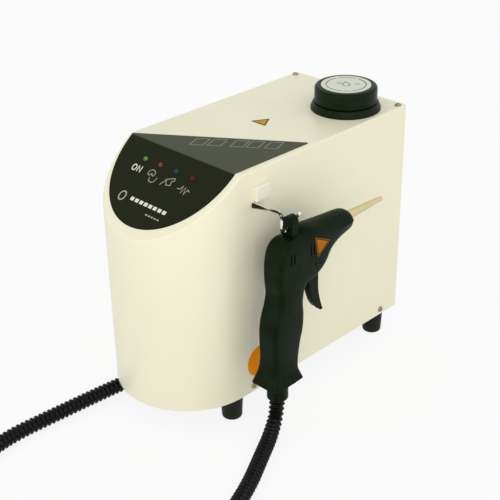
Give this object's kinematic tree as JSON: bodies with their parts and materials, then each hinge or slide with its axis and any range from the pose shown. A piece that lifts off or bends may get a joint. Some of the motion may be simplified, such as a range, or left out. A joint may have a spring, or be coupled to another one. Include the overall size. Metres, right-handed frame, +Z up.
{
  "type": "steam generator",
  "caption": "Round-nosed counter-top boiler with a filler cap, a lamp panel, a corrugated hose and a steam gun that hangs on a side hook.",
  "frame": {"origin": "middle of the footprint of the machine with its gun, on the floor", "axes": "-Y towards the round nose, +X towards the side with the gun, +Z up"},
  "size_m": [0.3207, 0.6714, 0.3416],
  "materials": {
    "cream_paint": "smooth satin cream paint on sheet steel",
    "galvanised": "plain zinc-plated sheet",
    "film_print": "printed near-black film, satin",
    "lens": "small clear lamp lens",
    "circuit_board": "green circuit board",
    "orange_label": "plain orange sticker",
    "amber_label": "plain amber sticker",
    "black_plastic": "moulded black plastic, slightly textured",
    "gloss_black": "glossy black plastic",
    "blue_label": "printed pale disc",
    "black_rubber": "black rubber",
    "screw_steel": "zinc-plated screw",
    "tank_plastic": "milky polyethylene",
    "stainless": "stainless steel",
    "brass": "machined brass",
    "copper_pipe": "bright copper pipe",
    "insulation": "pressed mineral fibre",
    "chrome": "polished chrome plate",
    "cream_plastic": "cream moulded plastic",
    "nozzle_metal": "satin cream-coated metal",
    "spring_steel": "spring wire"
  },
  "bodies": {
    "root": {"casing_cover": "cream_paint", "base_tray": "galvanised", "rear_panel": "cream_paint", "cover_top_screws": "screw_steel", "cover_side_screws": "screw_steel", "foot_front_left": "black_rubber", "foot_front_right": "black_rubber", "foot_rear_left": "black_rubber", "foot_rear_right": "black_rubber", "foot_screws": "screw_steel", "display_film": "film_print", "led_power": "lens", "led_water": "lens", "led_steam": "lens", "led_heating": "lens", "display_board": "circuit_board", "side_disc": "orange_label", "top_mark": "amber_label", "filler_collar": "black_plastic", "water_tank": "tank_plastic", "tank_shelf": "galvanised", "pump": "black_plastic", "suction_hose": "tank_plastic", "boiler_shell": "stainless", "boiler_stand": "galvanised", "boiler_jacket": "insulation", "feed_pipe": "copper_pipe", "heating_element": "stainless", "element_flange": "brass", "element_bolts": "screw_steel", "safety_valve": "brass", "pressure_switch": "black_plastic", "steam_valve": "brass", "valve_coil": "black_plastic", "steam_pipe": "copper_pipe", "outlet_elbow": "brass", "control_board": "circuit_board", "switch_frame": "black_plastic", "power_inlet": "black_plastic", "gun_hook": "chrome", "hook_block": "cream_plastic", "hose_floor": "gloss_black"},
    "gun": {"gun_shell_right": "black_plastic", "gun_shell_left": "black_plastic", "gun_screws": "screw_steel", "hanging_eye": "black_plastic", "gun_ferrule": "gloss_black", "gun_tube": "copper_pipe", "nozzle": "nozzle_metal", "trigger_pin": "stainless", "trigger_spring": "spring_steel", "gun_switch": "black_plastic", "gun_mark": "amber_label", "hose_rise": "gloss_black"},
    "trigger": {"trigger": "black_plastic"},
    "switch_plunger": {"switch_plunger": "cream_plastic"},
    "cap_gasket": {"cap_gasket": "black_rubber"},
    "cap": {"filler_cap": "gloss_black", "cap_label": "blue_label"},
    "rocker": {"switch_rocker": "black_plastic"}
  },
  "joints": [
    {"name": "gun_lift", "type": "slide", "parent": "root", "child": "gun", "axis": [0, 0.8746, 0.4848], "range_m": [0, 0.04]},
    {"name": "trigger_pull", "type": "hinge", "parent": "gun", "child": "trigger", "pos_m": [0.1016, -0.0344, 0.1973], "axis": [-1, 0, 0], "range_deg": [0, 12], "stiffness_Nm_per_rad": 0.5, "springref_deg": -11.46, "deforming": ["trigger_spring"]},
    {"name": "switch_press", "type": "slide", "parent": "gun", "child": "switch_plunger", "axis": [0, 0, 1], "range_m": [0, 0.0012]},
    {"name": "cap_lift", "type": "slide", "parent": "root", "child": "cap_gasket", "axis": [0, 0, 1], "range_m": [0, 0.06]},
    {"name": "cap_turn", "type": "hinge", "parent": "cap_gasket", "child": "cap", "pos_m": [0.0119, 0.1296, 0.3313], "axis": [0, 0, 1], "range_deg": [0, 90]},
    {"name": "rocker_press", "type": "hinge", "parent": "root", "child": "rocker", "pos_m": [0.0086, 0.1856, 0.07], "axis": [1, 0, 0], "range_deg": [0, 18]}
  ],
  "couplings": [
    {"joint": "switch_press", "follows": "trigger_pull", "m_per_rad": 0.0055}
  ]
}
